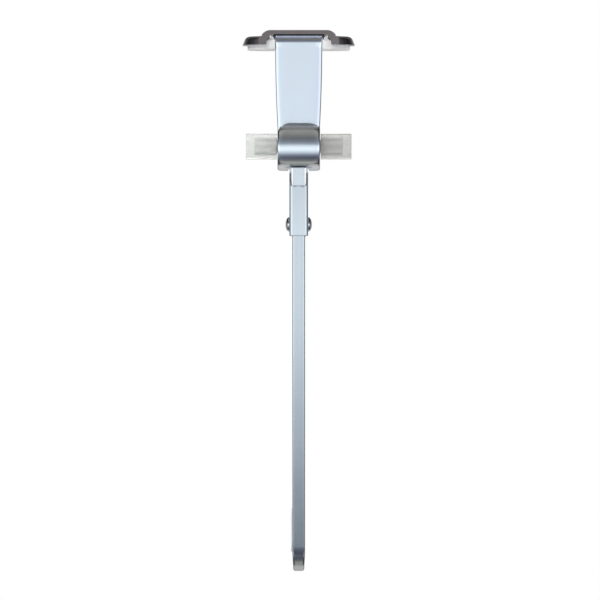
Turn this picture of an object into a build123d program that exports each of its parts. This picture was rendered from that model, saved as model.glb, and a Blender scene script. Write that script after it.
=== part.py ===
from build123d import *
from math import radians, tan
import os

# Door security bar. A pressed cover plate with two soft pads carries a strap, and the strap's lower
# end is curled round a cross pin. A short channel link hangs on the pin, and the swing bar is
# riveted into the channel. The link swings about the pin, and the bar folds back about the rivet.
#
# Millimetres. +Z is up, out of the face that the pads rest on, and the bar hangs along -Z.
# +X runs along the cross pin and -Y is the side that the curl is rolled towards. The origin is where the
# middle plane of the strap meets the plane of the pads' resting faces, halfway between the pads.

os.makedirs("parts", exist_ok=True)

# Cover plate and pads
plate_width = 53.0
plate_depth = 36.0
plate_mid_y = 14.5
plate_corner_r = 12.0
plate_edge_r = 2.8
plate_slope_deg = 21.0
plate_wall = 2.0
skirt_z = 2.2
wing_top_z = 6.25
raised_top_z = 9.1
raised_base_half = 17.4
raised_base_z = 6.9
raised_top_half = 13.0
channel_half = 13.7
channel_knee_z = 5.6
channel_low_half = 15.1
wing_ceiling_z = wing_top_z - plate_wall
raised_ceiling_z = raised_top_z - plate_wall
pad_gap = 0.3
pad_inner_x = 11.15
pad_riser_in_x = 11.9
pad_riser_out_x = 14.6

# Strap and its curl
strap_t = 2.0
strap_top_half = 11.1
strap_low_half = 10.0
foot_half = 13.3
foot_back_y = 19.0
foot_bend_r = 3.0
foot_z = raised_ceiling_z - strap_t
curl_outer_r = 11.4
curl_mid_r = curl_outer_r - strap_t / 2
curl_inner_r = curl_outer_r - strap_t
curl_sweep_deg = 260.0
slot_half = 4.9
slot_front_y = -5.2
slot_top_z = 6.6
slot_corner_r = 3.0
lip_top_z = 11.2
lip_left_run = 5.7
lip_left_drop = 5.2
lip_right_run = 6.2
lip_right_drop = 2.2

# Flush rivets that hold the strap's foot to the cover plate
foot_rivet_x = 7.0
foot_rivet_y = 13.5
foot_rivet_r = 1.75
foot_head_r = 3.0
foot_head_h = 1.25

# Cross pin: its axis is the pivot that the link swings about
pin_y = -curl_mid_r
pin_z = -46.0
pin_r = 3.0
pin_half = 20.7
sleeve_r = 6.0
sleeve_in_x = 10.3
sleeve_out_x = 24.8
bush_in_x = 4.8
bush_out_x = 9.1
clip_x = 9.4
clip_t = 0.5
clip_r = 4.6
clip_seat_r = 2.5

# Channel link and tongue, placed from the cross pin
link_outer_half = 4.4
link_wall = 1.0
link_inner_half = link_outer_half - link_wall
link_bend_r = 1.7
web_front_y = -4.4
web_back_y = web_front_y + link_wall
flange_back_y = 17.8
web_top_z = -18.4
link_bottom_z = -41.9
eye_r = 7.0
neck_front_y = -2.2
neck_back_y = 5.0
neck_end_z = -13.6
tongue_half = 2.7
tongue_bottom_z = -24.0
lock_pin_r = 1.5
lock_pin_z = -20.5

# Rivet that the bar folds about, placed from the cross pin
rivet_y = 8.8
rivet_z = -36.5
rivet_r = 2.25
rivet_head_r = 3.4
rivet_head_h = 1.8
washer_r = 6.0
washer_t = 0.2
washer_x = 3.1

# Swing bar, placed from the cross pin: straight, with a full round at each end
bar_half_t = 3.0
bar_half_w = 11.9
bar_edge_r = 1.0
bar_end_z = -187.8
bar_bush_r = 3.5
tip_taper_z = -191.0
tip_half_t = 2.55
bumper_t = 0.7
bumper_length = 20.5
bumper_width = 15.0
bumper_z = -180.5

fit_gap = 0.02
run_gap = 0.05


def write(builder, name):
    """Label a finished piece and write it as its own STEP file."""
    builder.part.label = name
    export_step(builder.part, f"parts/{name}.step")


def from_pin(y, z):
    """A point of the YZ plane given from the cross pin's axis."""
    return (pin_y + y, pin_z + z)


def ring_on_pin(outer_r, inner_r, start_x, length):
    """A round ring about the cross pin's axis, from start_x along +X."""
    with BuildSketch(Plane.YZ.offset(start_x)) as ring:
        with Locations(from_pin(0, 0)):
            Circle(outer_r)
            Circle(inner_r, mode=Mode.SUBTRACT)
    extrude(ring.sketch, amount=length)


# --- Cover plate: a pressed dish with a raised centre that is open at the front and the back ---
with BuildPart() as raised_centre:
    with BuildSketch(Plane.XZ):
        with BuildLine():
            shoulder = ThreePointArc(
                (raised_base_half, raised_base_z),
                (raised_base_half - 1.5, raised_top_z - 0.75),
                (raised_top_half, raised_top_z),
            )
            Polyline(
                shoulder @ 1,
                (0, raised_top_z),
                (0, skirt_z),
                (raised_base_half + 1.5, skirt_z),
                (raised_base_half + 1.5, wing_top_z),
                (raised_base_half, wing_top_z),
                shoulder @ 0,
            )
        make_face()
        mirror(about=Plane.YZ)
    extrude(amount=plate_depth, both=True)
    slope_run = (raised_top_z - skirt_z) * tan(radians(plate_slope_deg))
    front_y, back_y = plate_mid_y - plate_depth / 2, plate_mid_y + plate_depth / 2
    with BuildSketch(Plane.YZ):
        with BuildLine():
            Polyline(
                (front_y, skirt_z),
                (front_y + slope_run, raised_top_z),
                (back_y - slope_run, raised_top_z),
                (back_y, skirt_z),
                close=True,
            )
        make_face()
    extrude(amount=plate_width / 2, both=True, mode=Mode.INTERSECT)

with BuildPart() as cover_plate:
    with BuildSketch(Plane.XY.offset(skirt_z)):
        with Locations((0, plate_mid_y)):
            RectangleRounded(plate_width, plate_depth, plate_corner_r)
    extrude(amount=wing_top_z - skirt_z, taper=plate_slope_deg)
    fillet(cover_plate.faces().sort_by(Axis.Z)[-1].edges(), plate_edge_r)
    add(raised_centre.part)
    with BuildSketch(Plane.XY.offset(skirt_z)):
        with Locations((0, plate_mid_y)):
            RectangleRounded(
                plate_width - 2 * plate_wall,
                plate_depth - 2 * plate_wall,
                plate_corner_r - plate_wall,
            )
    extrude(amount=wing_ceiling_z - skirt_z, mode=Mode.SUBTRACT)
    with BuildSketch(Plane.XZ):
        with BuildLine():
            Polyline(
                (-channel_low_half - 0.3, skirt_z),
                (-channel_low_half, wing_ceiling_z),
                (-channel_half, channel_knee_z),
                (-channel_half, raised_ceiling_z),
                (channel_half, raised_ceiling_z),
                (channel_half, channel_knee_z),
                (channel_low_half, wing_ceiling_z),
                (channel_low_half + 0.3, skirt_z),
                close=True,
            )
        make_face()
    extrude(amount=plate_depth, both=True, mode=Mode.SUBTRACT)
    with Locations((-foot_rivet_x, foot_rivet_y, raised_top_z), (foot_rivet_x, foot_rivet_y, raised_top_z)):
        CounterSinkHole(foot_rivet_r + fit_gap, foot_head_r + fit_gap, depth=plate_wall + 1)
write(cover_plate, "cover_plate")

# --- Pads: one each side of the strap, held in the dish and standing below its skirt ---
pad_width = plate_width - 2 * (plate_wall + pad_gap)
pad_depth = plate_depth - 2 * (plate_wall + pad_gap)
for side, name in ((-1, "pad_left"), (1, "pad_right")):
    with BuildPart() as pad:
        with BuildSketch():
            with Locations((0, plate_mid_y)):
                RectangleRounded(pad_width, pad_depth, plate_corner_r - plate_wall - pad_gap)
            with Locations((pad_inner_x + plate_width / 2, plate_mid_y)):
                Rectangle(plate_width, plate_depth, mode=Mode.INTERSECT)
        extrude(amount=wing_ceiling_z)
        fillet(pad.faces().sort_by(Axis.Z)[0].edges(), 0.4)
        # Ridge that fills the space between the strap's flared foot and the step of the plate
        with BuildSketch(Plane.XZ.offset(-plate_mid_y)):
            with BuildLine():
                Polyline(
                    (pad_riser_in_x, wing_ceiling_z),
                    (pad_riser_in_x, wing_ceiling_z + 1.35),
                    (pad_riser_in_x + 0.6, wing_ceiling_z + 2.0),
                    (channel_half - 0.5, wing_ceiling_z + 2.3),
                    (channel_half - 0.5, channel_knee_z + 0.15),
                    (pad_riser_out_x, wing_ceiling_z),
                    close=True,
                )
            make_face()
        extrude(amount=pad_depth / 2 - 1, both=True)
        if side < 0:
            mirror(about=Plane.YZ, mode=Mode.REPLACE)
    write(pad, name)

# --- Strap: a foot under the raised centre, a straight drop, and a curl round the cross pin ---
foot_mid_z = foot_z + strap_t / 2
with BuildPart() as strap:
    with BuildLine(Plane.YZ) as strap_path:
        foot_run = Line((foot_back_y, foot_mid_z), (foot_bend_r, foot_mid_z))
        foot_bend = TangentArc(foot_run @ 1, (0, foot_mid_z - foot_bend_r), tangent=foot_run % 1)
        drop = Line(foot_bend @ 1, (0, pin_z))
        CenterArc((pin_y, pin_z), curl_mid_r, 0, -curl_sweep_deg)
    with BuildSketch(Plane(origin=(0, foot_back_y, foot_mid_z), x_dir=(1, 0, 0), z_dir=(0, -1, 0))):
        Rectangle(2 * foot_half, strap_t)
    sweep(path=strap_path.wires()[0])
    # Side outline: flared up to the foot, tapering down to the curl
    with BuildSketch(Plane.XZ):
        with BuildLine():
            side_run = Polyline(
                (strap_top_half, 4.3),
                (strap_low_half, pin_z + 10),
                (strap_low_half, pin_z - 20),
                (foot_half + 5, pin_z - 20),
                (foot_half + 5, raised_ceiling_z),
                (foot_half, raised_ceiling_z),
            )
            TangentArc(side_run @ 0, side_run @ 1, tangent=(0, 1))
        make_face()
        mirror(about=Plane.YZ)
    extrude(amount=40, both=True, mode=Mode.SUBTRACT)
    # Slot that the link's neck swings in: through the bottom of the curl and up the back
    with BuildSketch(Plane.XY.offset(pin_z)) as slot_below:
        with Locations((0, pin_y + slot_front_y + 20)):
            Rectangle(2 * slot_half, 40)
        fillet(slot_below.vertices().group_by(Axis.Y)[0], slot_corner_r)
    extrude(amount=-20, mode=Mode.SUBTRACT)
    with BuildSketch(Plane.XZ.offset(4)) as slot_behind:
        with Locations((0, pin_z + slot_top_z - 10)):
            Rectangle(2 * slot_half, 20)
        fillet(slot_behind.vertices().group_by(Axis.Y)[-1], slot_corner_r)
    extrude(amount=-10, mode=Mode.SUBTRACT)
    # Rounded corners of the curl's lip, the left one larger than the right
    for side, run, drop in ((-1, lip_left_run, lip_left_drop), (1, lip_right_run, lip_right_drop)):
        top_z = pin_z + lip_top_z
        with BuildSketch(Plane.XZ.offset(3)):
            with BuildLine():
                centre = (strap_low_half - run, top_z - drop)
                arc = EllipticalCenterArc(centre, run, drop, start_angle=0, arc_size=90)
                Polyline(
                    arc @ 1,
                    (strap_low_half - run, top_z + 3),
                    (strap_low_half + 2, top_z + 3),
                    (strap_low_half + 2, top_z - drop),
                    arc @ 0,
                )
            make_face()
            if side < 0:
                mirror(about=Plane.YZ, mode=Mode.REPLACE)
        extrude(amount=20, mode=Mode.SUBTRACT)
    with Locations(
        (-foot_rivet_x, foot_rivet_y, raised_ceiling_z),
        (foot_rivet_x, foot_rivet_y, raised_ceiling_z),
    ):
        Hole(foot_rivet_r + fit_gap, depth=strap_t)
    with Locations(
        Location((-foot_rivet_x, foot_rivet_y, foot_z), (180, 0, 0)),
        Location((foot_rivet_x, foot_rivet_y, foot_z), (180, 0, 0)),
    ):
        CounterSinkHole(foot_rivet_r + fit_gap, foot_head_r + fit_gap, depth=strap_t)
write(strap, "strap")

with BuildPart() as foot_rivets:
    with BuildSketch(Plane.XZ.offset(-foot_rivet_y)):
        with BuildLine():
            Polyline(
                (foot_rivet_x, foot_z),
                (foot_rivet_x + foot_head_r, foot_z),
                (foot_rivet_x + foot_rivet_r, foot_z + foot_head_h),
                (foot_rivet_x + foot_rivet_r, raised_top_z - foot_head_h),
                (foot_rivet_x + foot_head_r, raised_top_z),
                (foot_rivet_x, raised_top_z),
                close=True,
            )
        make_face()
    revolve(axis=Axis((foot_rivet_x, foot_rivet_y, 0), (0, 0, 1)))
    mirror(about=Plane.YZ)
write(foot_rivets, "foot_rivets")

# --- Cross pin with its bushes in the curl, snap rings and soft sleeves ---
with BuildPart() as cross_pin:
    with BuildSketch(Plane.YZ.offset(-pin_half)):
        with Locations(from_pin(0, 0)):
            Circle(pin_r)
    extrude(amount=2 * pin_half)
    chamfer(cross_pin.edges().filter_by(GeomType.CIRCLE), 0.5)
    for groove_x in (-clip_x - clip_t, clip_x):
        with BuildSketch(Plane.YZ.offset(groove_x)):
            with Locations(from_pin(0, 0)):
                Circle(pin_r + 1)
                Circle(clip_seat_r, mode=Mode.SUBTRACT)
        extrude(amount=clip_t, mode=Mode.SUBTRACT)
write(cross_pin, "cross_pin")

for side, name in ((-1, "bush_left"), (1, "bush_right")):
    with BuildPart() as bush:
        ring_on_pin(curl_inner_r - fit_gap, pin_r + run_gap, bush_in_x, bush_out_x - bush_in_x)
        chamfer(bush.faces().sort_by(Axis.X)[-1].outer_wire().edges(), 0.5)
        if side < 0:
            mirror(about=Plane.YZ, mode=Mode.REPLACE)
    write(bush, name)

for side, name in ((-1, "snap_ring_left"), (1, "snap_ring_right")):
    with BuildPart() as snap_ring:
        ring_on_pin(clip_r, clip_seat_r + fit_gap, clip_x + fit_gap, clip_t - 2 * fit_gap)
        with BuildSketch(Plane.YZ.offset(clip_x)):
            with Locations(from_pin(0, -pin_r)):
                Rectangle(2.6, 2 * pin_r)
        extrude(amount=clip_t, mode=Mode.SUBTRACT)
        if side < 0:
            mirror(about=Plane.YZ, mode=Mode.REPLACE)
    write(snap_ring, name)

for side, name in ((-1, "sleeve_left"), (1, "sleeve_right")):
    with BuildPart() as sleeve:
        with BuildSketch(Plane.YZ.offset(sleeve_in_x)):
            with Locations(from_pin(0, 0)):
                Circle(sleeve_r)
        extrude(amount=sleeve_out_x - sleeve_in_x)
        fillet(sleeve.edges().filter_by(GeomType.CIRCLE), 0.3)
        with BuildSketch(Plane.YZ.offset(sleeve_in_x)):
            with Locations(from_pin(0, 0)):
                Circle(pin_r + fit_gap)
        extrude(amount=pin_half + fit_gap - sleeve_in_x, mode=Mode.SUBTRACT)
        if side < 0:
            mirror(about=Plane.YZ, mode=Mode.REPLACE)
    write(sleeve, name)

# --- Channel link: a web in front, two flanges that narrow to a neck and end in eyes on the pin ---
with BuildPart() as link:
    with BuildSketch(Plane.YZ):
        with BuildLine():
            Polyline(
                from_pin(neck_front_y, 0),
                from_pin(neck_front_y, neck_end_z + 1.2),
                from_pin(web_front_y, web_top_z),
                from_pin(web_front_y, link_bottom_z),
                from_pin(flange_back_y - 4, link_bottom_z),
                from_pin(flange_back_y, link_bottom_z + 4),
                from_pin(flange_back_y, web_top_z),
                from_pin(neck_back_y, neck_end_z),
                from_pin(neck_back_y, 0),
                close=True,
            )
        make_face()
        with Locations(from_pin(0, 0)):
            Circle(eye_r)
    extrude(amount=link_outer_half, both=True)
    web_edges = link.edges().filter_by(Axis.Z).group_by(Axis.Y)[0]
    fillet(web_edges, link_bend_r)
    with BuildSketch(Plane.XY.offset(pin_z + 20)) as hollow:
        with Locations((0, pin_y + web_back_y + 20)):
            Rectangle(2 * link_inner_half, 40)
        fillet(hollow.vertices().group_by(Axis.Y)[0], link_bend_r - link_wall)
    extrude(amount=-80, mode=Mode.SUBTRACT)
    # Open in front above the web, so that only the two flanges run up to the eyes
    with BuildSketch(Plane.XY.offset(pin_z + web_top_z)):
        with Locations((0, pin_y + web_back_y - 9.9)):
            Rectangle(2 * link_inner_half, 20)
    extrude(amount=40, mode=Mode.SUBTRACT)
    with BuildSketch(Plane.YZ):
        with Locations(from_pin(0, 0)):
            Circle(pin_r + run_gap)
        with Locations(from_pin(rivet_y, rivet_z)):
            Circle(rivet_r + fit_gap)
        with Locations(from_pin(0, lock_pin_z)):
            Circle(lock_pin_r + fit_gap)
    extrude(amount=20, both=True, mode=Mode.SUBTRACT)
write(link, "link")

# --- Tongue: the solid filler between the flanges, from the pin down into the channel ---
with BuildPart() as tongue:
    with BuildSketch(Plane.YZ):
        with BuildLine():
            Polyline(
                from_pin(neck_front_y + 0.3, 0),
                from_pin(neck_front_y + 0.3, tongue_bottom_z),
                from_pin(flange_back_y - 0.5, tongue_bottom_z),
                from_pin(flange_back_y - 0.5, web_top_z),
                from_pin(neck_back_y - 0.3, neck_end_z),
                from_pin(neck_back_y - 0.3, 0),
                close=True,
            )
        make_face()
        with Locations(from_pin(0, 0)):
            Circle(eye_r - 0.3)
            Circle(pin_r + run_gap, mode=Mode.SUBTRACT)
        with Locations(from_pin(0, lock_pin_z)):
            Circle(lock_pin_r + fit_gap, mode=Mode.SUBTRACT)
    extrude(amount=tongue_half, both=True)
write(tongue, "tongue")

with BuildPart() as lock_pin:
    with BuildSketch(Plane.YZ.offset(-link_outer_half)):
        with Locations(from_pin(0, lock_pin_z)):
            Circle(lock_pin_r)
    extrude(amount=2 * link_outer_half)
    chamfer(lock_pin.edges().filter_by(GeomType.CIRCLE), 0.2)
write(lock_pin, "lock_pin")

# --- Bar rivet with a domed head each side, and a thin washer each side of the bar ---
head_half = link_outer_half + fit_gap
axis_y = pin_y + rivet_y
with BuildPart() as bar_rivet:
    with BuildSketch(Plane.XY.offset(pin_z + rivet_z)):
        with BuildLine():
            dome = ThreePointArc(
                (head_half + rivet_head_h, axis_y),
                (head_half + 0.72 * rivet_head_h, axis_y + 0.62 * rivet_head_r),
                (head_half, axis_y + rivet_head_r),
            )
            Polyline(
                dome @ 1,
                (head_half, axis_y + rivet_r),
                (0, axis_y + rivet_r),
                (0, axis_y),
                dome @ 0,
            )
        make_face()
        mirror(about=Plane.YZ)
    revolve(axis=Axis((0, axis_y, pin_z + rivet_z), (1, 0, 0)))
write(bar_rivet, "bar_rivet")

for side, name in ((-1, "washer_left"), (1, "washer_right")):
    with BuildPart() as washer:
        with BuildSketch(Plane.YZ.offset(washer_x)):
            with Locations(from_pin(rivet_y, rivet_z)):
                Circle(washer_r)
                Circle(rivet_r + run_gap, mode=Mode.SUBTRACT)
        extrude(amount=washer_t)
        if side < 0:
            mirror(about=Plane.YZ, mode=Mode.REPLACE)
    write(washer, name)

# --- Swing bar: flat steel on edge, with a bronze bush at the rivet and a soft bumper at the tip ---
with BuildPart() as swing_bar:
    with BuildSketch(Plane.YZ):
        with Locations(from_pin(rivet_y, rivet_z), from_pin(rivet_y, bar_end_z)):
            Circle(bar_half_w)
        with Locations(from_pin(rivet_y, (rivet_z + bar_end_z) / 2)):
            Rectangle(2 * bar_half_w, rivet_z - bar_end_z)
    extrude(amount=bar_half_t, both=True)
    fillet(swing_bar.faces().filter_by(Axis.X).edges(), bar_edge_r)
    with BuildSketch(Plane.XZ):
        with BuildLine():
            Polyline(
                (bar_half_t, pin_z + tip_taper_z),
                (tip_half_t, pin_z - 200),
                (bar_half_t + 1, pin_z - 200),
                (bar_half_t + 1, pin_z + tip_taper_z),
                close=True,
            )
        make_face()
        mirror(about=Plane.YZ)
    extrude(amount=60, both=True, mode=Mode.SUBTRACT)
    with BuildSketch(Plane.YZ):
        with Locations(from_pin(rivet_y, rivet_z)):
            Circle(bar_bush_r + fit_gap)
    extrude(amount=20, both=True, mode=Mode.SUBTRACT)
write(swing_bar, "swing_bar")

with BuildPart() as bar_bush:
    with BuildSketch(Plane.YZ.offset(-bar_half_t)):
        with Locations(from_pin(rivet_y, rivet_z)):
            Circle(bar_bush_r)
            Circle(rivet_r + run_gap, mode=Mode.SUBTRACT)
    extrude(amount=2 * bar_half_t)
write(bar_bush, "bar_bush")

with BuildPart() as bumper:
    with BuildSketch(Plane.YZ.offset(-bar_half_t)):
        with Locations(Location(from_pin(rivet_y, bumper_z), 90)):
            SlotOverall(bumper_length, bumper_width)
    extrude(amount=-bumper_t)
    fillet(bumper.faces().sort_by(Axis.X)[0].edges(), 0.3)
write(bumper, "bumper")
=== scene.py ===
import bpy
import bmesh
import math
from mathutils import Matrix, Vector


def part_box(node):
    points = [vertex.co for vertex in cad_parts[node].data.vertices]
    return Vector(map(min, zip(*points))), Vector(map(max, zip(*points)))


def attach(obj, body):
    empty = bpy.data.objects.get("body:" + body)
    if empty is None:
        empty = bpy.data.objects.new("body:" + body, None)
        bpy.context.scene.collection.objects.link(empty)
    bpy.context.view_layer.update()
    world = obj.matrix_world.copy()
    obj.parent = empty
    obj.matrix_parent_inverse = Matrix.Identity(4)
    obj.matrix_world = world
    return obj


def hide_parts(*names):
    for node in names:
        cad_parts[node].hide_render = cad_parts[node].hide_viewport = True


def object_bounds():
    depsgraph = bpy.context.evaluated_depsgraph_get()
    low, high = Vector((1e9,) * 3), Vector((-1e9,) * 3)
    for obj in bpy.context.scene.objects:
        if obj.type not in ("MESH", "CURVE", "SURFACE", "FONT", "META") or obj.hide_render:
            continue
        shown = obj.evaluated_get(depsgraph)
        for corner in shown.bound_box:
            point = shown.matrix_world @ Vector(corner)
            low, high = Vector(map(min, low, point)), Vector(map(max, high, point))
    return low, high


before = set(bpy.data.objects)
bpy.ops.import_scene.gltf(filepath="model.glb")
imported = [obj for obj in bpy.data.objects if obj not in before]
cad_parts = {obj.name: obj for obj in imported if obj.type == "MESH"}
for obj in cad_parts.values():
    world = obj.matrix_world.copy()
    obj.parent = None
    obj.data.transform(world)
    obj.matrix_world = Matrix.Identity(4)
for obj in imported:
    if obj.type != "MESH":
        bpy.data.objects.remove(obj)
cad_low, cad_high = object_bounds()

# ---------------------------------------------------------------- measures
# All sizes are in millimetres here and become metres when a mesh is written.
MM = 0.001
pin_lo, pin_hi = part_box("cross_pin")
PIN_Y = (pin_lo.y + pin_hi.y) / 2 / MM
PIN_Z = (pin_lo.z + pin_hi.z) / 2 / MM
PIN_HALF = pin_hi.x / MM
riv_lo, riv_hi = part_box("bar_rivet")
RIV_Z = (riv_lo.z + riv_hi.z) / 2 / MM
RIV_Y = (riv_lo.y + riv_hi.y) / 2 / MM
# The bar's rivet as seen from the pin
RIV_OFF = RIV_Y - PIN_Y
RIV_DROP = RIV_Z - PIN_Z

PIN_R = 3.0
RIVET_R = 2.25
SLEEVE_R = 6.0
SLEEVE_IN = 10.3
SLEEVE_OUT = 24.8


# ---------------------------------------------------------------- materials
def new_material(name):
    """A new material with its node tree and its shader."""
    mat = bpy.data.materials.new(name)
    mat.use_nodes = True
    tree = mat.node_tree
    return mat, tree, tree.nodes["Principled BSDF"]


def ramp(tree, source, stops):
    """Colour by value: stops are (place, colour) in rising order."""
    node = tree.nodes.new("ShaderNodeValToRGB")
    node.color_ramp.elements[0].position = stops[0][0]
    node.color_ramp.elements[0].color = (*stops[0][1], 1)
    node.color_ramp.elements[1].position = stops[-1][0]
    node.color_ramp.elements[1].color = (*stops[-1][1], 1)
    for place, colour in stops[1:-1]:
        stop = node.color_ramp.elements.new(place)
        stop.color = (*colour, 1)
    tree.links.new(source, node.inputs[0])
    return node.outputs[0]


def noise_at(tree, scale, detail=3.0, stretch=(1, 1, 1), roughness=0.55):
    """Noise in object space; stretch makes it into lines."""
    place = tree.nodes.new("ShaderNodeTexCoord")
    mapping = tree.nodes.new("ShaderNodeMapping")
    mapping.inputs["Scale"].default_value = stretch
    tree.links.new(place.outputs["Object"], mapping.inputs["Vector"])
    tex = tree.nodes.new("ShaderNodeTexNoise")
    tex.inputs["Scale"].default_value = scale
    tex.inputs["Detail"].default_value = detail
    tex.inputs["Roughness"].default_value = roughness
    tree.links.new(mapping.outputs[0], tex.inputs["Vector"])
    return tex.outputs["Fac"]


def span(tree, source, low, high, from_low=0.3, from_high=0.7):
    """The value carried over from one range to another."""
    node = tree.nodes.new("ShaderNodeMapRange")
    node.inputs["From Min"].default_value = from_low
    node.inputs["From Max"].default_value = from_high
    node.inputs["To Min"].default_value = low
    node.inputs["To Max"].default_value = high
    tree.links.new(source, node.inputs["Value"])
    return node.outputs["Result"]


def bump(tree, bsdf, source, strength, distance, after=None):
    """Small relief on the shader's normal, on top of an earlier one if that is given."""
    node = tree.nodes.new("ShaderNodeBump")
    node.inputs["Strength"].default_value = strength
    node.inputs["Distance"].default_value = distance
    tree.links.new(source, node.inputs["Height"])
    if after is not None:
        tree.links.new(after, node.inputs["Normal"])
    tree.links.new(node.outputs[0], bsdf.inputs["Normal"])
    return node.outputs[0]


def metal(name, colour, tint, rough, lines=(900, 900, 16), line_depth=0.12, smear=0.05):
    """Polished metal: drawn lines, faint cloudy smears in gloss and tint, tiny pits."""
    mat, tree, bsdf = new_material(name)
    bsdf.inputs["Metallic"].default_value = 1.0
    cloud = noise_at(tree, 90, 4)
    tree.links.new(ramp(tree, cloud, [(0.32, colour), (0.68, tint)]), bsdf.inputs["Base Color"])
    drawn = noise_at(tree, 1.0, 4, lines)
    mixed = tree.nodes.new("ShaderNodeMath")
    mixed.operation = "ADD"
    tree.links.new(span(tree, cloud, rough - smear / 2, rough + smear), mixed.inputs[0])
    tree.links.new(span(tree, drawn, -smear / 2, smear / 2), mixed.inputs[1])
    tree.links.new(mixed.outputs[0], bsdf.inputs["Roughness"])
    first = bump(tree, bsdf, drawn, line_depth, 0.00004)
    bump(tree, bsdf, noise_at(tree, 260, 3), 0.06, 0.0001, first)
    return mat


def rubber(name, dark, light, rough, grain=900):
    """Moulded rubber: a fine grain, slight dusting, softer gloss."""
    mat, tree, bsdf = new_material(name)
    cloud = noise_at(tree, 140, 4)
    tree.links.new(ramp(tree, cloud, [(0.3, dark), (0.7, light)]), bsdf.inputs["Base Color"])
    tree.links.new(span(tree, noise_at(tree, 420, 3), rough - 0.07, rough + 0.07), bsdf.inputs["Roughness"])
    bump(tree, bsdf, noise_at(tree, grain, 3), 0.25, 0.00006)
    bsdf.inputs["Sheen Weight"].default_value = 0.15
    return mat


def silicone(name, dark, light, through):
    """Milky silicone tube: lets light and the pin's shape through, slightly blurred."""
    mat, tree, bsdf = new_material(name)
    cloud = noise_at(tree, 120, 4, (1, 1.6, 1.6))
    tree.links.new(ramp(tree, cloud, [(0.3, dark), (0.7, light)]), bsdf.inputs["Base Color"])
    tree.links.new(span(tree, noise_at(tree, 300, 3), 0.10, 0.17), bsdf.inputs["Roughness"])
    bump(tree, bsdf, noise_at(tree, 260, 2, (0.2, 1, 1)), 0.05, 0.00005)
    bsdf.inputs["IOR"].default_value = 1.41
    bsdf.inputs["Transmission Weight"].default_value = through
    return mat


satin = metal("satin_steel", (0.79, 0.855, 0.915), (0.84, 0.895, 0.945), 0.17)
# The bar's steel is the strap's steel made about a quarter darker: painted shade for the darker reflection
# along the bar.
bar_painted_shade_steel = metal("bar_painted_shade_steel", (0.60, 0.65, 0.685), (0.64, 0.69, 0.72), 0.20)
link_steel = metal("link_steel", (0.65, 0.70, 0.735), (0.70, 0.745, 0.775), 0.20)
# The tongue's steel is a lighter copy of the link's: painted light against the shade the recessed tongue sits
# in.
tongue_painted_light_steel = metal("tongue_painted_light_steel", (0.72, 0.77, 0.81), (0.77, 0.815, 0.845), 0.18)
# Near-black steel for the neck's flange edges: painted shade, not the metal's own finish.
neck_edge_painted_shade = metal("flange_edge_painted_shade", (0.07, 0.075, 0.08), (0.12, 0.125, 0.13), 0.4, (300, 300, 300), 0.2)
plate_chrome = metal(
    "plate_chrome", (0.93, 0.86, 0.89), (0.98, 0.92, 0.95), 0.13, (16, 900, 900), 0.08
)
pin_steel = metal("pin_steel", (0.66, 0.68, 0.69), (0.74, 0.76, 0.77), 0.30, (12, 900, 900), 0.2)
rivet_steel = metal("rivet_steel", (0.72, 0.74, 0.78), (0.80, 0.82, 0.85), 0.16, (300, 300, 300), 0.08)
spring_steel = metal("spring_steel", (0.22, 0.22, 0.24), (0.32, 0.32, 0.34), 0.3, (300, 300, 300), 0.1)
bronze = metal("bronze", (0.55, 0.38, 0.18), (0.66, 0.48, 0.24), 0.34, (400, 400, 400), 0.15)
nylon = rubber("nylon", (0.030, 0.030, 0.033), (0.050, 0.050, 0.054), 0.42)
pad_rubber = rubber("pad_rubber", (0.52, 0.52, 0.515), (0.62, 0.62, 0.615), 0.55)
bumper_rubber = rubber("bumper_rubber", (0.74, 0.75, 0.74), (0.82, 0.83, 0.82), 0.5)
# The right tube is a darker copy of the left one's silicone: painted shade, as the light falls from the left.
tubes = {
    "left": silicone("silicone_tube_left", (0.74, 0.76, 0.73), (0.80, 0.815, 0.79), 0.72),
    "right": silicone("silicone_tube_right_painted_shade", (0.56, 0.565, 0.54), (0.62, 0.62, 0.59), 0.72),
}


# ---------------------------------------------------------------- mesh tools
def piece(name, bm, material, body, node):
    """Write a mesh in millimetres as a smooth piece that stands for a CAD node and rides on its body."""
    bmesh.ops.recalc_face_normals(bm, faces=bm.faces)
    for vert in bm.verts:
        vert.co *= MM
    mesh = bpy.data.meshes.new(name)
    bm.to_mesh(mesh)
    bm.free()
    for poly in mesh.polygons:
        poly.use_smooth = True
    obj = bpy.data.objects.new(name, mesh)
    bpy.context.scene.collection.objects.link(obj)
    mesh.materials.append(material)
    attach(obj, body)
    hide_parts(node)
    return obj


def weighted(obj):
    """Let the large faces lead the shading, so that flats look flat."""
    mod = obj.modifiers.new("normals", "WEIGHTED_NORMAL")
    mod.keep_sharp = False
    mod.weight = 60


def arc(cx, cy, rx, ry, start, end, step=4.0):
    """Points on an ellipse's arc, angles in degrees."""
    count = max(2, int(abs(end - start) / step) + 1)
    out = []
    for i in range(count + 1):
        a = math.radians(start + (end - start) * i / count)
        out.append((cx + rx * math.cos(a), cy + ry * math.sin(a)))
    return out


def round_corners(points, radii, step=8.0):
    """A closed outline with each corner rounded to its radius."""
    out = []
    count = len(points)
    for i in range(count):
        before, here, after = (Vector(points[(i + k) % count]) for k in (-1, 0, 1))
        r = radii[i]
        if r <= 0:
            out.append(tuple(here))
            continue
        a, b = (before - here).normalized(), (after - here).normalized()
        half = a.angle(b) / 2
        if half > math.radians(89.5):
            out.append(tuple(here))
            continue
        reach = r / math.tan(half)
        centre = here + (a + b).normalized() * (r / math.sin(half))
        p, q = here + a * reach - centre, here + b * reach - centre
        turn = p.angle_signed(q)
        steps = max(2, int(abs(math.degrees(turn)) / step) + 1)
        start = math.atan2(p.y, p.x)
        for k in range(steps + 1):
            ang = start - turn * k / steps
            out.append((centre.x + r * math.cos(ang), centre.y + r * math.sin(ang)))
    return out


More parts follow.
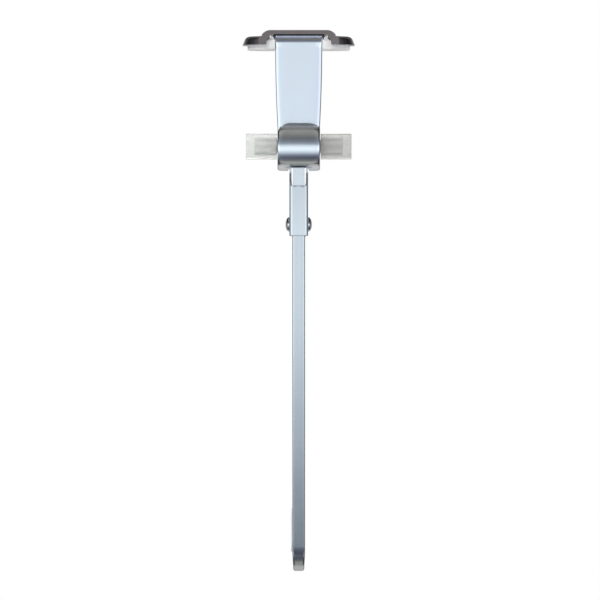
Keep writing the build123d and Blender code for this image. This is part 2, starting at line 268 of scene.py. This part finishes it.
def dense(points, gap):
    """The same closed outline with no edge longer than gap."""
    out = []
    for i, p in enumerate(points):
        q = points[(i + 1) % len(points)]
        length = math.dist(p, q)
        if length < 1e-5:
            continue
        parts = max(1, math.ceil(length / gap))
        for k in range(parts):
            out.append((p[0] + (q[0] - p[0]) * k / parts, p[1] + (q[1] - p[1]) * k / parts))
    return out


def area(points):
    """Signed area of a closed outline, positive when it runs anticlockwise."""
    return sum(p[0] * q[1] - q[0] * p[1] for p, q in zip(points, points[1:] + points[:1])) / 2


def inset(points, distance, hole):
    """Move an outline into the material: inward for the outside, outward for a hole."""
    sign = 1.0 if area(points) > 0 else -1.0
    if hole:
        sign = -sign
    out = []
    count = len(points)
    for i in range(count):
        p0, p1, p2 = (Vector(points[(i + k) % count]) for k in (-1, 0, 1))
        d1, d2 = (p1 - p0).normalized(), (p2 - p1).normalized()
        n1, n2 = Vector((-d1.y, d1.x)) * sign, Vector((-d2.y, d2.x)) * sign
        n = (n1 + n2).normalized()
        out.append(tuple(p1 + n * distance / max(0.5, n.dot(n1))))
    return out


def sheet_mesh(outlines, half_t, edge_r, cuts, place, steps=5, hole_r=None):
    """A flat sheet with rounded edges, bent into shape.

    The first of the outlines is the outside, the rest are holes. cuts lists (axis, value) lines along
    which the flat sheet is divided, and place maps (u, v, n) to space."""
    bm = bmesh.new()
    inner_edges = []
    for index, outline in enumerate(outlines):
        loops = []
        r = hole_r if index > 0 and hole_r else edge_r
        depths = [r * (1 - math.cos(math.pi / 2 * k / steps)) for k in range(steps + 1)]
        heights = [half_t - r + r * math.sin(math.pi / 2 * k / steps) for k in range(steps + 1)]
        for depth, height in zip(depths, heights):
            line = inset(outline, depth, index > 0)
            loops.append([bm.verts.new((u, v, height)) for u, v in line])
        for low, high in zip(loops, loops[1:]):
            for i in range(len(low)):
                j = (i + 1) % len(low)
                bm.faces.new((low[i], low[j], high[j], high[i]))
        top = loops[-1]
        for i in range(len(top)):
            inner_edges.append(bm.edges.get((top[i], top[(i + 1) % len(top)])))
    bmesh.ops.triangle_fill(bm, use_beauty=True, edges=inner_edges)
    for axis, value in cuts:
        normal = (1, 0, 0) if axis == "u" else (0, 1, 0)
        point = (value, 0, 0) if axis == "u" else (0, value, 0)
        geom = bm.verts[:] + bm.edges[:] + bm.faces[:]
        bmesh.ops.bisect_plane(bm, geom=geom, dist=1e-4, plane_co=point, plane_no=normal)
    copy = bmesh.ops.duplicate(bm, geom=bm.verts[:] + bm.edges[:] + bm.faces[:])
    for item in copy["geom"]:
        if isinstance(item, bmesh.types.BMVert):
            item.co.z = -item.co.z
    bridge_rims(bm, [e for e in bm.edges if e.is_boundary])
    for vert in bm.verts:
        vert.co = place(*vert.co)
    return bm


def bridge_rims(bm, open_edges):
    """Close the side walls: each open edge above joins the one straight below it."""
    below = {}
    for e in open_edges:
        for v in e.verts:
            if v.co.z < 0:
                below[(round(v.co.x, 3), round(v.co.y, 3))] = v
    for e in open_edges:
        a, b = e.verts
        if a.co.z > 0 and b.co.z > 0:
            c = below.get((round(b.co.x, 3), round(b.co.y, 3)))
            d = below.get((round(a.co.x, 3), round(a.co.y, 3)))
            if c and d and c is not d:
                bm.faces.new((a, b, c, d))


def lathe(profile, y, z, turns=96):
    """Turn a profile of (x, radius) points about the X-wise line at (y, z)."""
    bm = bmesh.new()
    rings = []
    for x, r in profile:
        if r < 1e-6:
            rings.append([bm.verts.new((x, y, z))])
        else:
            ring = []
            for i in range(turns):
                a = 2 * math.pi * i / turns
                ring.append(bm.verts.new((x, y + r * math.cos(a), z + r * math.sin(a))))
            rings.append(ring)
    for a, b in zip(rings, rings[1:]):
        for i in range(turns):
            j = (i + 1) % turns
            if len(a) == 1 and len(b) == 1:
                continue
            if len(a) == 1:
                bm.faces.new((a[0], b[i], b[j]))
            elif len(b) == 1:
                bm.faces.new((a[i], a[j], b[0]))
            else:
                bm.faces.new((a[i], a[j], b[j], b[i]))
    return bm


def soft_corner(x0, r0, x1, r1, x2, r2, radius, steps=5):
    """Profile points that round the corner at (x1, r1) on the way from point 0 to point 2."""
    here = Vector((x1, r1))
    a = (Vector((x0, r0)) - here).normalized()
    b = (Vector((x2, r2)) - here).normalized()
    out = []
    for k in range(steps + 1):
        t = k / steps
        out.append(tuple(here + a * radius * (1 - t) ** 2 + b * radius * t ** 2))
    return out


def refined(node, name, material, body, width, angle=30, segments=3):
    """A CAD node's shape with its flat faces made whole and its sharp edges softly broken."""
    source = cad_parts[node]
    bm = bmesh.new()
    bm.from_mesh(source.data)
    bmesh.ops.remove_doubles(bm, verts=bm.verts, dist=2e-6)
    bmesh.ops.dissolve_limit(bm, angle_limit=math.radians(0.6), verts=bm.verts, edges=bm.edges)
    for vert in bm.verts:
        vert.co /= MM
    obj = piece(name, bm, material, body, node)
    mod = obj.modifiers.new("edges", "BEVEL")
    mod.width = width * MM
    mod.segments = segments
    mod.limit_method = "ANGLE"
    mod.angle_limit = math.radians(angle)
    mod.harden_normals = False
    weighted(obj)
    return obj


# ---------------------------------------------------------------- strap with its curl
STRAP_T = 2.0
STRAP_TOP_HALF = 11.1
STRAP_LOW_HALF = 10.0
TAPER_LEN = 40.0
FOOT_HALF = 12.4
FOOT_Y, FOOT_MID_Z, FOOT_BEND = 19.0, 6.1, 3.0
CURL_R = 10.4
CURL_SWEEP = 260.0
LIP_TOP = 11.2
# Across and down runs of the rounded corners at the lip
LIP_LEFT = (5.7, 5.2)
LIP_RIGHT = (6.2, 2.2)
SLOT_HALF = 4.9
# The slot starts this far above the pin's axis and runs this many degrees round the curl
SLOT_TOP = 6.6
SLOT_SWEEP = 118.5
# The strap's front is slightly crowned: from here outwards it leans back, by this much at the edge
MARGIN_FROM = 6.2
MARGIN_BACK = 0.45

# Lengths along the strap's middle at which its stretches end
BEND_LEN = FOOT_BEND * math.pi / 2
DROP_TOP = FOOT_MID_Z - FOOT_BEND
S_BEND = FOOT_Y - FOOT_BEND
S_DROP = S_BEND + BEND_LEN
S_CURL = S_DROP + DROP_TOP - PIN_Z
S_END = S_CURL + CURL_R * math.radians(CURL_SWEEP)


def strap_frame(s):
    """Point and backward direction of the strap's middle at length s from the foot's end."""
    if s <= S_BEND:
        return FOOT_Y - s, FOOT_MID_Z, 0.0, -1.0
    if s <= S_DROP:
        a = math.pi / 2 + (s - S_BEND) / FOOT_BEND
        out_y, out_z = math.cos(a), math.sin(a)
        return FOOT_BEND + FOOT_BEND * out_y, DROP_TOP + FOOT_BEND * out_z, -out_y, -out_z
    if s <= S_CURL:
        return 0.0, DROP_TOP - (s - S_DROP), 1.0, 0.0
    a = -(s - S_CURL) / CURL_R
    return PIN_Y + CURL_R * math.cos(a), PIN_Z + CURL_R * math.sin(a), math.cos(a), math.sin(a)


def strap_half(s):
    """Half width of the strap at length s."""
    if s <= S_BEND:
        return FOOT_HALF
    if s <= S_DROP:
        t = (s - S_BEND) / BEND_LEN
        return STRAP_TOP_HALF + (FOOT_HALF - STRAP_TOP_HALF) * (1 - t) ** 2
    t = min(1.0, (s - S_DROP) / TAPER_LEN)
    return STRAP_TOP_HALF - (STRAP_TOP_HALF - STRAP_LOW_HALF) * t * t


def curl_s(height):
    """Length along the strap where the lip's outer face is that far above the pin's axis."""
    return S_CURL + CURL_R * (math.pi + math.asin(height / (CURL_R + STRAP_T / 2)))


def strap_outline():
    """The strap laid flat at the curl's width: a plain foot, then the lip with a rounded corner each side."""
    left, right = [], []
    run, drop = LIP_LEFT
    for u, v in arc(0, 0, run, drop, 0, 90, 5):
        left.append((-(STRAP_LOW_HALF - run + u), curl_s(LIP_TOP - drop + v)))
    run, drop = LIP_RIGHT
    for u, v in arc(0, 0, run, drop, 90, 0, 5):
        right.append((STRAP_LOW_HALF - run + u, curl_s(LIP_TOP - drop + v)))
    half = STRAP_LOW_HALF
    foot = round_corners([(half, 40), (half, 0), (-half, 0), (-half, 40)], [0, 1.4, 1.4, 0])
    return dense(foot + left + right, 0.6)


def place_strap(u, v, n):
    """Bend the flat strap: u across, v along it, n out of its middle plane."""
    y, z, ny, nz = strap_frame(v)
    edge = max(0.0, (abs(u) - MARGIN_FROM) / (STRAP_LOW_HALF - MARGIN_FROM))
    if v < S_DROP + 2.0:
        away = max(0.0, (v - S_DROP) / 2.0)
    elif v < S_CURL:
        away = 1.0
    else:
        away = max(-0.5, 1.0 - (v - S_CURL) / (CURL_R * 0.9))
    n += MARGIN_BACK * edge * edge * away
    return Vector((u * strap_half(v) / STRAP_LOW_HALF, y + ny * n, z + nz * n))


slot_top = S_CURL - SLOT_TOP
slot_end = S_CURL + CURL_R * math.radians(SLOT_SWEEP)
slot = dense(
    round_corners(
        [(-SLOT_HALF, slot_top), (SLOT_HALF, slot_top), (SLOT_HALF, slot_end), (-SLOT_HALF, slot_end)],
        [2.5, 2.5, 3.0, 3.0],
    ),
    0.6,
)
cuts = [("v", S_BEND + BEND_LEN * k / 14) for k in range(15)]
cuts += [("v", S_DROP + (S_CURL - S_DROP) * k / 9) for k in range(1, 9)]
cuts += [("v", S_CURL + (S_END - S_CURL) * k / 110) for k in range(110)]
cuts += [("u", side * x) for side in (-1, 1) for x in (MARGIN_FROM, 7.0, 7.8, 8.5, 2.5)]
piece(
    "strap_curled",
    sheet_mesh([strap_outline(), slot], STRAP_T / 2, 0.85, cuts, place_strap, 5, 0.25),
    satin, "hanger", "strap",
)

# ---------------------------------------------------------------- channel link
# Sheet thickness, half width and bend radius at the middle of the sheet, then places from the pin
LINK_T = 1.0
LINK_MID, LINK_BEND, LINK_FRONT, LINK_BACK = 3.9, 1.2, -3.9, 17.8
WEB_TOP, LINK_BOTTOM, LINK_CORNER = -18.4, -41.9, 4.0
NECK_FRONT, NECK_BACK, NECK_END = -2.2, 5.0, -13.6
EYE_R = 7.0
LOCK_PIN_R, LOCK_PIN_Z = 1.5, -20.5
L_BEND = LINK_BEND * math.pi / 2
L_WEB = LINK_MID - LINK_BEND


def place_link(u, v, n):
    """u runs round the channel from the middle of the web, v is height from the pin."""
    side = 1.0 if u >= 0 else -1.0
    a = abs(u)
    if a <= L_WEB:
        x, y, nx, ny = a, LINK_FRONT, 0.0, -1.0
    elif a <= L_WEB + L_BEND:
        t = (a - L_WEB) / LINK_BEND
        nx, ny = math.sin(t), -math.cos(t)
        x, y = L_WEB + LINK_BEND * nx, LINK_FRONT + LINK_BEND + LINK_BEND * ny
    else:
        x, y, nx, ny = LINK_MID, LINK_FRONT + LINK_BEND + (a - L_WEB - L_BEND), 1.0, 0.0
    return Vector((side * (x + nx * n), PIN_Y + y + ny * n, PIN_Z + v))


def flange_u(y):
    """Round-the-channel length of a point of the right flange at that depth."""
    return L_WEB + L_BEND + (y - LINK_FRONT - LINK_BEND)


def link_outline():
    """The link laid flat: the web in the middle, a flange each side that narrows to a neck with an eye."""
    shoulder = round_corners(
        [
            (flange_u(NECK_FRONT), -6.0),
            (flange_u(NECK_FRONT), -12.4),
            (L_WEB + 0.55, WEB_TOP),
            (0.0, WEB_TOP),
            (0.0, -6.0),
        ],
        [0, 1.5, 0.5, 0, 0],
    )[1:-2]
    right = [(0.0, LINK_BOTTOM)]
    corner = (flange_u(LINK_BACK - LINK_CORNER), LINK_BOTTOM + LINK_CORNER)
    right += arc(*corner, LINK_CORNER, LINK_CORNER, -90, 0, 8)
    right += [(flange_u(LINK_BACK), WEB_TOP - 0.8), (flange_u(LINK_BACK - 0.9), WEB_TOP + 0.3)]
    right += [(flange_u(NECK_BACK + 0.8), NECK_END - 0.3), (flange_u(NECK_BACK), NECK_END + 0.7)]
    start = -math.degrees(math.acos(NECK_BACK / EYE_R))
    stop = 180 + math.degrees(math.acos(-NECK_FRONT / EYE_R))
    right += arc(flange_u(0.0), 0.0, EYE_R, EYE_R, start, stop, 6)
    right += shoulder
    left = [(-u, v) for u, v in reversed(right)]
    return dense(right + [(0.0, WEB_TOP)] + left[:-1], 0.5)


holes = []
for side in (-1, 1):
    for y, v, r in (
        (0.0, 0.0, PIN_R + 0.06),
        (RIV_OFF, RIV_DROP, RIVET_R + 0.03),
        (0.0, LOCK_PIN_Z, LOCK_PIN_R + 0.03),
    ):
        holes.append(arc(side * flange_u(y), v, r, r, 0, 352, 8))
cuts = [("u", side * (L_WEB + L_BEND * k / 8)) for side in (-1, 1) for k in range(9)]
link = piece(
    "link_channel",
    sheet_mesh([link_outline()] + holes, LINK_T / 2, 0.22, cuts, place_link, 4),
    link_steel, "link_set", "link",
)
# The front edges of the neck's flanges are near-black: painted shade for the dark gap beside the tongue
link.data.materials.append(neck_edge_painted_shade)
for poly in link.data.polygons:
    if poly.center.z > (PIN_Z + WEB_TOP + 0.5) * MM and poly.normal.y < -0.5:
        poly.material_index = 1
weighted(link)

# ---------------------------------------------------------------- swing bar
BAR_T = 6.0
BAR_HALF = 11.9
BAR_END = -187.8
TIP_TOP, TIP_LEN, TIP_THINNING = -191.0, 9.0, 0.15
BAR_BUSH_R = 3.5


def bar_outline():
    """The bar seen from its flat side, with a full round at each end."""
    out = arc(0.0, RIV_DROP, BAR_HALF, BAR_HALF, 180, 0, 3)
    out += arc(0.0, BAR_END, BAR_HALF, BAR_HALF, 0, -180, 3)
    return dense(out, 2.0)


def place_bar(u, v, n):
    """u is depth from the rivet, v height from the pin and n out of the bar's middle; the tip thins."""
    thin = 1.0 - TIP_THINNING * min(1.0, max(0.0, (TIP_TOP - v) / TIP_LEN))
    return Vector((n * thin, RIV_Y + u, PIN_Z + v))


cuts = [("v", -30.0 - 5.0 * k) for k in range(34)]
cuts += [("v", TIP_TOP - 1.5 * k) for k in range(6)]
bush_hole = arc(0.0, RIV_DROP, BAR_BUSH_R, BAR_BUSH_R, 0, 352, 8)
bar = piece(
    "bar_flat",
    sheet_mesh([bar_outline(), bush_hole], BAR_T / 2, 1.0, cuts, place_bar, 5),
    bar_painted_shade_steel, "bar_set", "swing_bar",
)
weighted(bar)

# ---------------------------------------------------------------- turned pieces
# Cross pin: rounded ends, and a groove for each snap ring
GROOVE_IN, GROOVE_OUT, GROOVE_R = 9.38, 9.92, 2.52
pin_profile = [(-PIN_HALF, 0), (-PIN_HALF, PIN_R - 0.6), (-PIN_HALF + 0.12, PIN_R - 0.3)]
pin_profile += [(-PIN_HALF + 0.5, PIN_R), (-GROOVE_OUT - 0.03, PIN_R)]
pin_profile += [(-GROOVE_OUT, GROOVE_R), (-GROOVE_IN, GROOVE_R), (-GROOVE_IN + 0.03, PIN_R)]
pin_profile += [(-x, r) for x, r in reversed(pin_profile)]
piece("pin_turned", lathe(pin_profile, PIN_Y, PIN_Z), pin_steel, "pin_set", "cross_pin")

# Sleeves: tubes pushed on over the pin's ends, closed at the outer end
BORE_R = PIN_R + 0.02
sleeve_profile = [(PIN_HALF + 0.05, 0.0), (PIN_HALF + 0.05, BORE_R), (SLEEVE_IN, BORE_R)]
sleeve_profile += soft_corner(SLEEVE_IN, PIN_R, SLEEVE_IN, SLEEVE_R, SLEEVE_OUT, SLEEVE_R, 0.35)
sleeve_profile += [(SLEEVE_IN + 3.0, SLEEVE_R), (18.0, SLEEVE_R - 0.02)]
sleeve_profile += [(20.8, SLEEVE_R), (SLEEVE_OUT - 1.0, SLEEVE_R)]
sleeve_profile += soft_corner(SLEEVE_IN, SLEEVE_R, SLEEVE_OUT, SLEEVE_R, SLEEVE_OUT, 0.0, 0.45)
sleeve_profile += [(SLEEVE_OUT, PIN_R), (SLEEVE_OUT, 0.0)]
for side, word in ((-1, "left"), (1, "right")):
    shape = [(side * x, r) for x, r in sleeve_profile]
    piece("tube_" + word, lathe(shape, PIN_Y, PIN_Z), tubes[word], "pin_set", "sleeve_" + word)

# Bar rivet: a plain shank and a domed head each side
HEAD_IN, HEAD_H, HEAD_R, HEAD_EDGE = 4.42, 1.8, 3.4, 0.12
rivet_profile = [(HEAD_IN + HEAD_H, 0.0)]
for k in range(1, 11):
    a = math.radians(9 * k)
    out = HEAD_EDGE + (HEAD_H - HEAD_EDGE) * math.cos(a)
    rivet_profile.append((HEAD_IN + out, HEAD_R * math.sin(a)))
rivet_profile += [(HEAD_IN, HEAD_R - 0.04), (HEAD_IN, RIVET_R), (0.0, RIVET_R)]
rivet_profile += [(-x, r) for x, r in reversed(rivet_profile[:-1])]
piece("rivet_domed", lathe(rivet_profile, RIV_Y, RIV_Z, 72), rivet_steel, "link_set", "bar_rivet")

# ---------------------------------------------------------------- pieces that keep the CAD's shape
refined("cover_plate", "plate_pressed", plate_chrome, "hanger", 0.45, 28, 4)
for word in ("left", "right"):
    refined("pad_" + word, "pad_block_" + word, pad_rubber, "hanger", 0.45, 35, 3)
refined("tongue", "tongue_filler", tongue_painted_light_steel, "link_set", 0.7, 35, 4)
refined("bumper", "bumper_pad", bumper_rubber, "bar_set", 0.2, 35, 3)
refined("foot_rivets", "foot_rivet_pair", rivet_steel, "hanger", 0.12, 35, 2)
refined("snap_ring_left", "ring_left", spring_steel, "pin_set", 0.1, 35, 2)
refined("snap_ring_right", "ring_right", spring_steel, "pin_set", 0.1, 35, 2)


def assign(node, material):
    """Give a CAD node that is shown as it is one of the materials above."""
    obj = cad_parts[node]
    for index in range(len(obj.material_slots)):
        obj.material_slots[index].material = material


for node in ("bush_left", "bush_right"):
    assign(node, nylon)
for node in ("bar_bush", "washer_left", "washer_right"):
    assign(node, bronze)
assign("lock_pin", rivet_steel)

# ---------------------------------------------------------------- floor, light, camera
FLOOR_GAP = 0.10
FLOOR_HALF = 12.0
floor_z = cad_low.z - FLOOR_GAP
bm = bmesh.new()
bmesh.ops.create_grid(bm, x_segments=24, y_segments=24, size=FLOOR_HALF)
for vert in bm.verts:
    vert.co.z = floor_z
mesh = bpy.data.meshes.new("floor")
bm.to_mesh(mesh)
bm.free()
floor = bpy.data.objects.new("floor", mesh)
bpy.context.scene.collection.objects.link(floor)
floor_mat, tree, bsdf = new_material("floor_paper")
paper = ramp(tree, noise_at(tree, 6, 3), [(0.3, (0.90, 0.90, 0.90)), (0.7, (0.92, 0.92, 0.92))])
tree.links.new(paper, bsdf.inputs["Base Color"])
bsdf.inputs["Roughness"].default_value = 0.8
# Away from the object the floor fades to plain white, so that no horizon shows
spot = tree.nodes.new("ShaderNodeTexCoord")
away = tree.nodes.new("ShaderNodeVectorMath")
away.operation = "LENGTH"
tree.links.new(spot.outputs["Object"], away.inputs[0])
glow = tree.nodes.new("ShaderNodeEmission")
glow.inputs["Color"].default_value = (1, 1, 1, 1)
blend = tree.nodes.new("ShaderNodeMixShader")
tree.links.new(span(tree, away.outputs["Value"], 0.0, 1.0, 0.45, 1.6), blend.inputs[0])
tree.links.new(bsdf.outputs[0], blend.inputs[1])
tree.links.new(glow.outputs[0], blend.inputs[2])
tree.links.new(blend.outputs[0], tree.nodes["Material Output"].inputs["Surface"])
floor.visible_glossy = False
mesh.materials.append(floor_mat)

world = bpy.data.worlds.new("studio")
bpy.context.scene.world = world
world.use_nodes = True
tree = world.node_tree
tree.nodes["Background"].inputs["Strength"].default_value = 1.0
coord = tree.nodes.new("ShaderNodeTexCoord")
split = tree.nodes.new("ShaderNodeSeparateXYZ")
tree.links.new(coord.outputs["Generated"], split.inputs[0])


def maths(tree, kind, a, b=None):
    """One step of arithmetic on node outputs or plain numbers."""
    node = tree.nodes.new("ShaderNodeMath")
    node.operation = kind
    for slot_in, value in zip(node.inputs, (a, b)):
        if value is None:
            continue
        if isinstance(value, (int, float)):
            slot_in.default_value = value
        else:
            tree.links.new(value, slot_in)
    return node.outputs[0]


def paint(tree, source, stops):
    """A ramp whose stops may also be plain greys."""
    return ramp(tree, source, [(place, (v, v, v) if isinstance(v, float) else v) for place, v in stops])


def mix_colour(tree, kind, factor, a, b):
    """Blend two colours; each input is a node output, a number or a colour."""
    node = tree.nodes.new("ShaderNodeMix")
    node.data_type = "RGBA"
    node.blend_type = kind
    for index, value in ((0, factor), (6, a), (7, b)):
        if isinstance(value, (int, float)):
            node.inputs[index].default_value = value
        elif isinstance(value, tuple):
            node.inputs[index].default_value = (*value, 1)
        else:
            tree.links.new(value, node.inputs[index])
    return node.outputs[2]


# Elevation is 0 straight down, 0.5 level and 1 straight up.
# Turn is 0 behind, 0.25 on the left, 0.5 in front and 0.75 on the right.
rise = maths(tree, "ARCSINE", split.outputs["Z"])
level = maths(tree, "ADD", maths(tree, "DIVIDE", rise, math.pi), 0.5)
toward = maths(tree, "MULTIPLY", split.outputs["Y"], -1.0)
round_angle = maths(tree, "ARCTAN2", split.outputs["X"], toward)
turn = maths(tree, "ADD", maths(tree, "DIVIDE", round_angle, 2 * math.pi), 0.5)


def up(degrees):
    """Elevation in degrees as a place on a ramp."""
    return 0.5 + degrees / 180.0


def round_to(degrees):
    """Turn in degrees, right of the front, as a place on a ramp."""
    return 0.5 + degrees / 360.0


# What shows in the metal: the front wall by elevation, the side walls as a share of it by turn, and the
# wall behind by elevation. The sides differ for low and high elevations.
NADIR = (0.47, 0.455, 0.42)
ZENITH = (0.28, 0.265, 0.245)
FRONT = [
    (0.0, NADIR), (up(-83), (0.37, 0.365, 0.33)), (up(-71), (0.155, 0.155, 0.145)),
    (up(-59), (0.09, 0.09, 0.12)), (up(-49), (0.12, 0.13, 0.17)), (up(-39), (0.28, 0.31, 0.355)),
    (up(-29), (0.64, 0.69, 0.745)), (up(-19), (0.95, 1.02, 1.07)), (up(-10), (1.05, 1.12, 1.16)),
    (up(0), (0.87, 0.925, 0.985)), (up(2.5), (0.85, 0.905, 0.965)), (up(8), (0.45, 0.48, 0.53)),
    (up(17), (0.24, 0.265, 0.30)), (up(29), (0.165, 0.175, 0.20)), (up(40), (0.15, 0.15, 0.15)),
    (up(52), (0.20, 0.19, 0.18)), (up(64), (0.25, 0.24, 0.22)), (1.0, ZENITH),
]
LOW_SIDES = [
    (0.0, 0.20), (round_to(-89), 0.20), (round_to(-77), 1.32), (round_to(-24), 1.34),
    (round_to(-13), 1.0), (round_to(6), 1.0), (round_to(13), (0.93, 0.88, 0.99)),
    (round_to(22), 1.22), (round_to(66), 1.15), (round_to(76), 0.18), (1.0, 0.20),
]
HIGH_SIDES = [
    (0.0, 0.03), (round_to(-118), 0.05), (round_to(-84), 0.22), (round_to(-58), 0.60),
    (round_to(-34), 1.15), (round_to(-16), 1.75), (round_to(-5), 1.0), (round_to(5), 1.0),
    (round_to(16), 1.6), (round_to(34), 0.95), (round_to(58), 0.45), (round_to(84), 0.16),
    (round_to(118), 0.04), (1.0, 0.03),
]
BEHIND = [
    (0.0, NADIR), (up(-80), (0.54, 0.515, 0.48)), (up(-68), (0.64, 0.60, 0.57)),
    (up(-50), (0.62, 0.59, 0.57)), (up(-30), (0.55, 0.53, 0.52)), (up(-16), 0.30), (up(-9), 0.40),
    (up(9), 0.40), (up(16), 0.09), (up(40), 0.08), (up(54), 0.12), (up(70), 0.22), (1.0, ZENITH),
]
LOW_PART = [(0.0, 0.0), (up(-60), 0.0), (up(-45), 1.0), (up(12), 1.0), (up(26), 0.0), (1.0, 0.0)]
REAR = [
    (0.0, 1.0), (round_to(-146), 1.0), (round_to(-118), 0.0), (round_to(118), 0.0),
    (round_to(146), 1.0), (1.0, 1.0),
]
low_part = paint(tree, level, LOW_PART)
sides = mix_colour(tree, "MIX", low_part, paint(tree, turn, HIGH_SIDES), paint(tree, turn, LOW_SIDES))
shade = mix_colour(tree, "MULTIPLY", 1.0, paint(tree, level, FRONT), sides)
shade = mix_colour(tree, "MIX", paint(tree, turn, REAR), shade, paint(tree, level, BEHIND))
# Seen directly or through the sleeves, the room is plain white
path = tree.nodes.new("ShaderNodeLightPath")
clear = maths(tree, "MAXIMUM", path.outputs["Is Camera Ray"], path.outputs["Is Transmission Ray"])
room = mix_colour(tree, "MIX", clear, shade, (1.0, 1.0, 1.0))
tree.links.new(room, tree.nodes["Background"].inputs["Color"])

# The lower half of the front wall is a lit paper sheet that stands close by, so that what the metal
# mirrors of it changes with height
CARD_GAP = 0.235
CARD_HALF_WIDTH, CARD_BOTTOM, CARD_TOP = 0.9, -0.42, -0.010
card_y = (PIN_Y - CURL_R - STRAP_T / 2) * MM - CARD_GAP
corners = (
    (-CARD_HALF_WIDTH, 0, CARD_BOTTOM), (CARD_HALF_WIDTH, 0, CARD_BOTTOM),
    (CARD_HALF_WIDTH, 0, CARD_TOP), (-CARD_HALF_WIDTH, 0, CARD_TOP),
)
bm = bmesh.new()
bm.faces.new([bm.verts.new(place) for place in corners])
mesh = bpy.data.meshes.new("front_sheet")
bm.to_mesh(mesh)
bm.free()
card = bpy.data.objects.new("front_sheet", mesh)
card.location = (0.0, card_y, PIN_Z * MM)
bpy.context.scene.collection.objects.link(card)
card_mat, tree, bsdf = new_material("lit_sheet")
tree.nodes.remove(bsdf)
spot = tree.nodes.new("ShaderNodeTexCoord")
split = tree.nodes.new("ShaderNodeSeparateXYZ")
tree.links.new(spot.outputs["Object"], split.inputs[0])
drop = maths(tree, "ARCTANGENT", maths(tree, "DIVIDE", split.outputs["Z"], CARD_GAP))
drop = maths(tree, "ADD", maths(tree, "DIVIDE", drop, math.pi), 0.5)
swing = maths(tree, "ARCTANGENT", maths(tree, "DIVIDE", split.outputs["X"], CARD_GAP))
swing = maths(tree, "ADD", maths(tree, "DIVIDE", swing, 2 * math.pi), 0.5)
across = paint(tree, swing, [
    (0.0, 1.30), (round_to(-24), 1.34), (round_to(-13), 1.0), (round_to(6), 1.0),
    (round_to(13), (0.93, 0.88, 0.99)), (round_to(22), 1.22), (1.0, 1.15),
])
lit = tree.nodes.new("ShaderNodeEmission")
tree.links.new(mix_colour(tree, "MULTIPLY", 1.0, paint(tree, drop, FRONT), across), lit.inputs["Color"])
tree.links.new(lit.outputs[0], tree.nodes["Material Output"].inputs["Surface"])
mesh.materials.append(card_mat)
card.visible_camera = False
card.visible_diffuse = False
card.visible_transmission = False
card.visible_shadow = False


def area_light(name, place, aim, size, power):
    """A soft light that the metal does not mirror."""
    light = bpy.data.lights.new(name, "AREA")
    light.shape = "RECTANGLE"
    light.size, light.size_y = size
    light.energy = power
    obj = bpy.data.objects.new(name, light)
    obj.location = place
    obj.rotation_euler = (Vector(aim) - Vector(place)).to_track_quat("-Z", "Y").to_euler()
    bpy.context.scene.collection.objects.link(obj)
    obj.visible_glossy = False


middle = (cad_low + cad_high) / 2
area_light("key", (-0.9, -1.2, 1.1), middle, (1.0, 1.0), 26)
area_light("fill", (1.2, -0.8, 0.6), middle, (1.0, 1.0), 10)
area_light("top", (0.0, 0.4, 1.8), middle, (2.0, 2.0), 40)

# The camera stands far off in front and looks level at the middle of the object's height
span_m = 0.282
distance = 4.0
camera_right = 0.0006
camera_below_pin = 0.0721
cam_data = bpy.data.cameras.new("camera")
cam_data.sensor_width = 36.0
cam_data.lens = 36.0 * distance / span_m
camera = bpy.data.objects.new("camera", cam_data)
camera.location = (camera_right, PIN_Y * MM - distance, PIN_Z * MM - camera_below_pin)
camera.rotation_euler = (math.radians(90), 0, 0)
bpy.context.scene.collection.objects.link(camera)
bpy.context.scene.camera = camera
bpy.context.scene.view_settings.view_transform = "Standard"
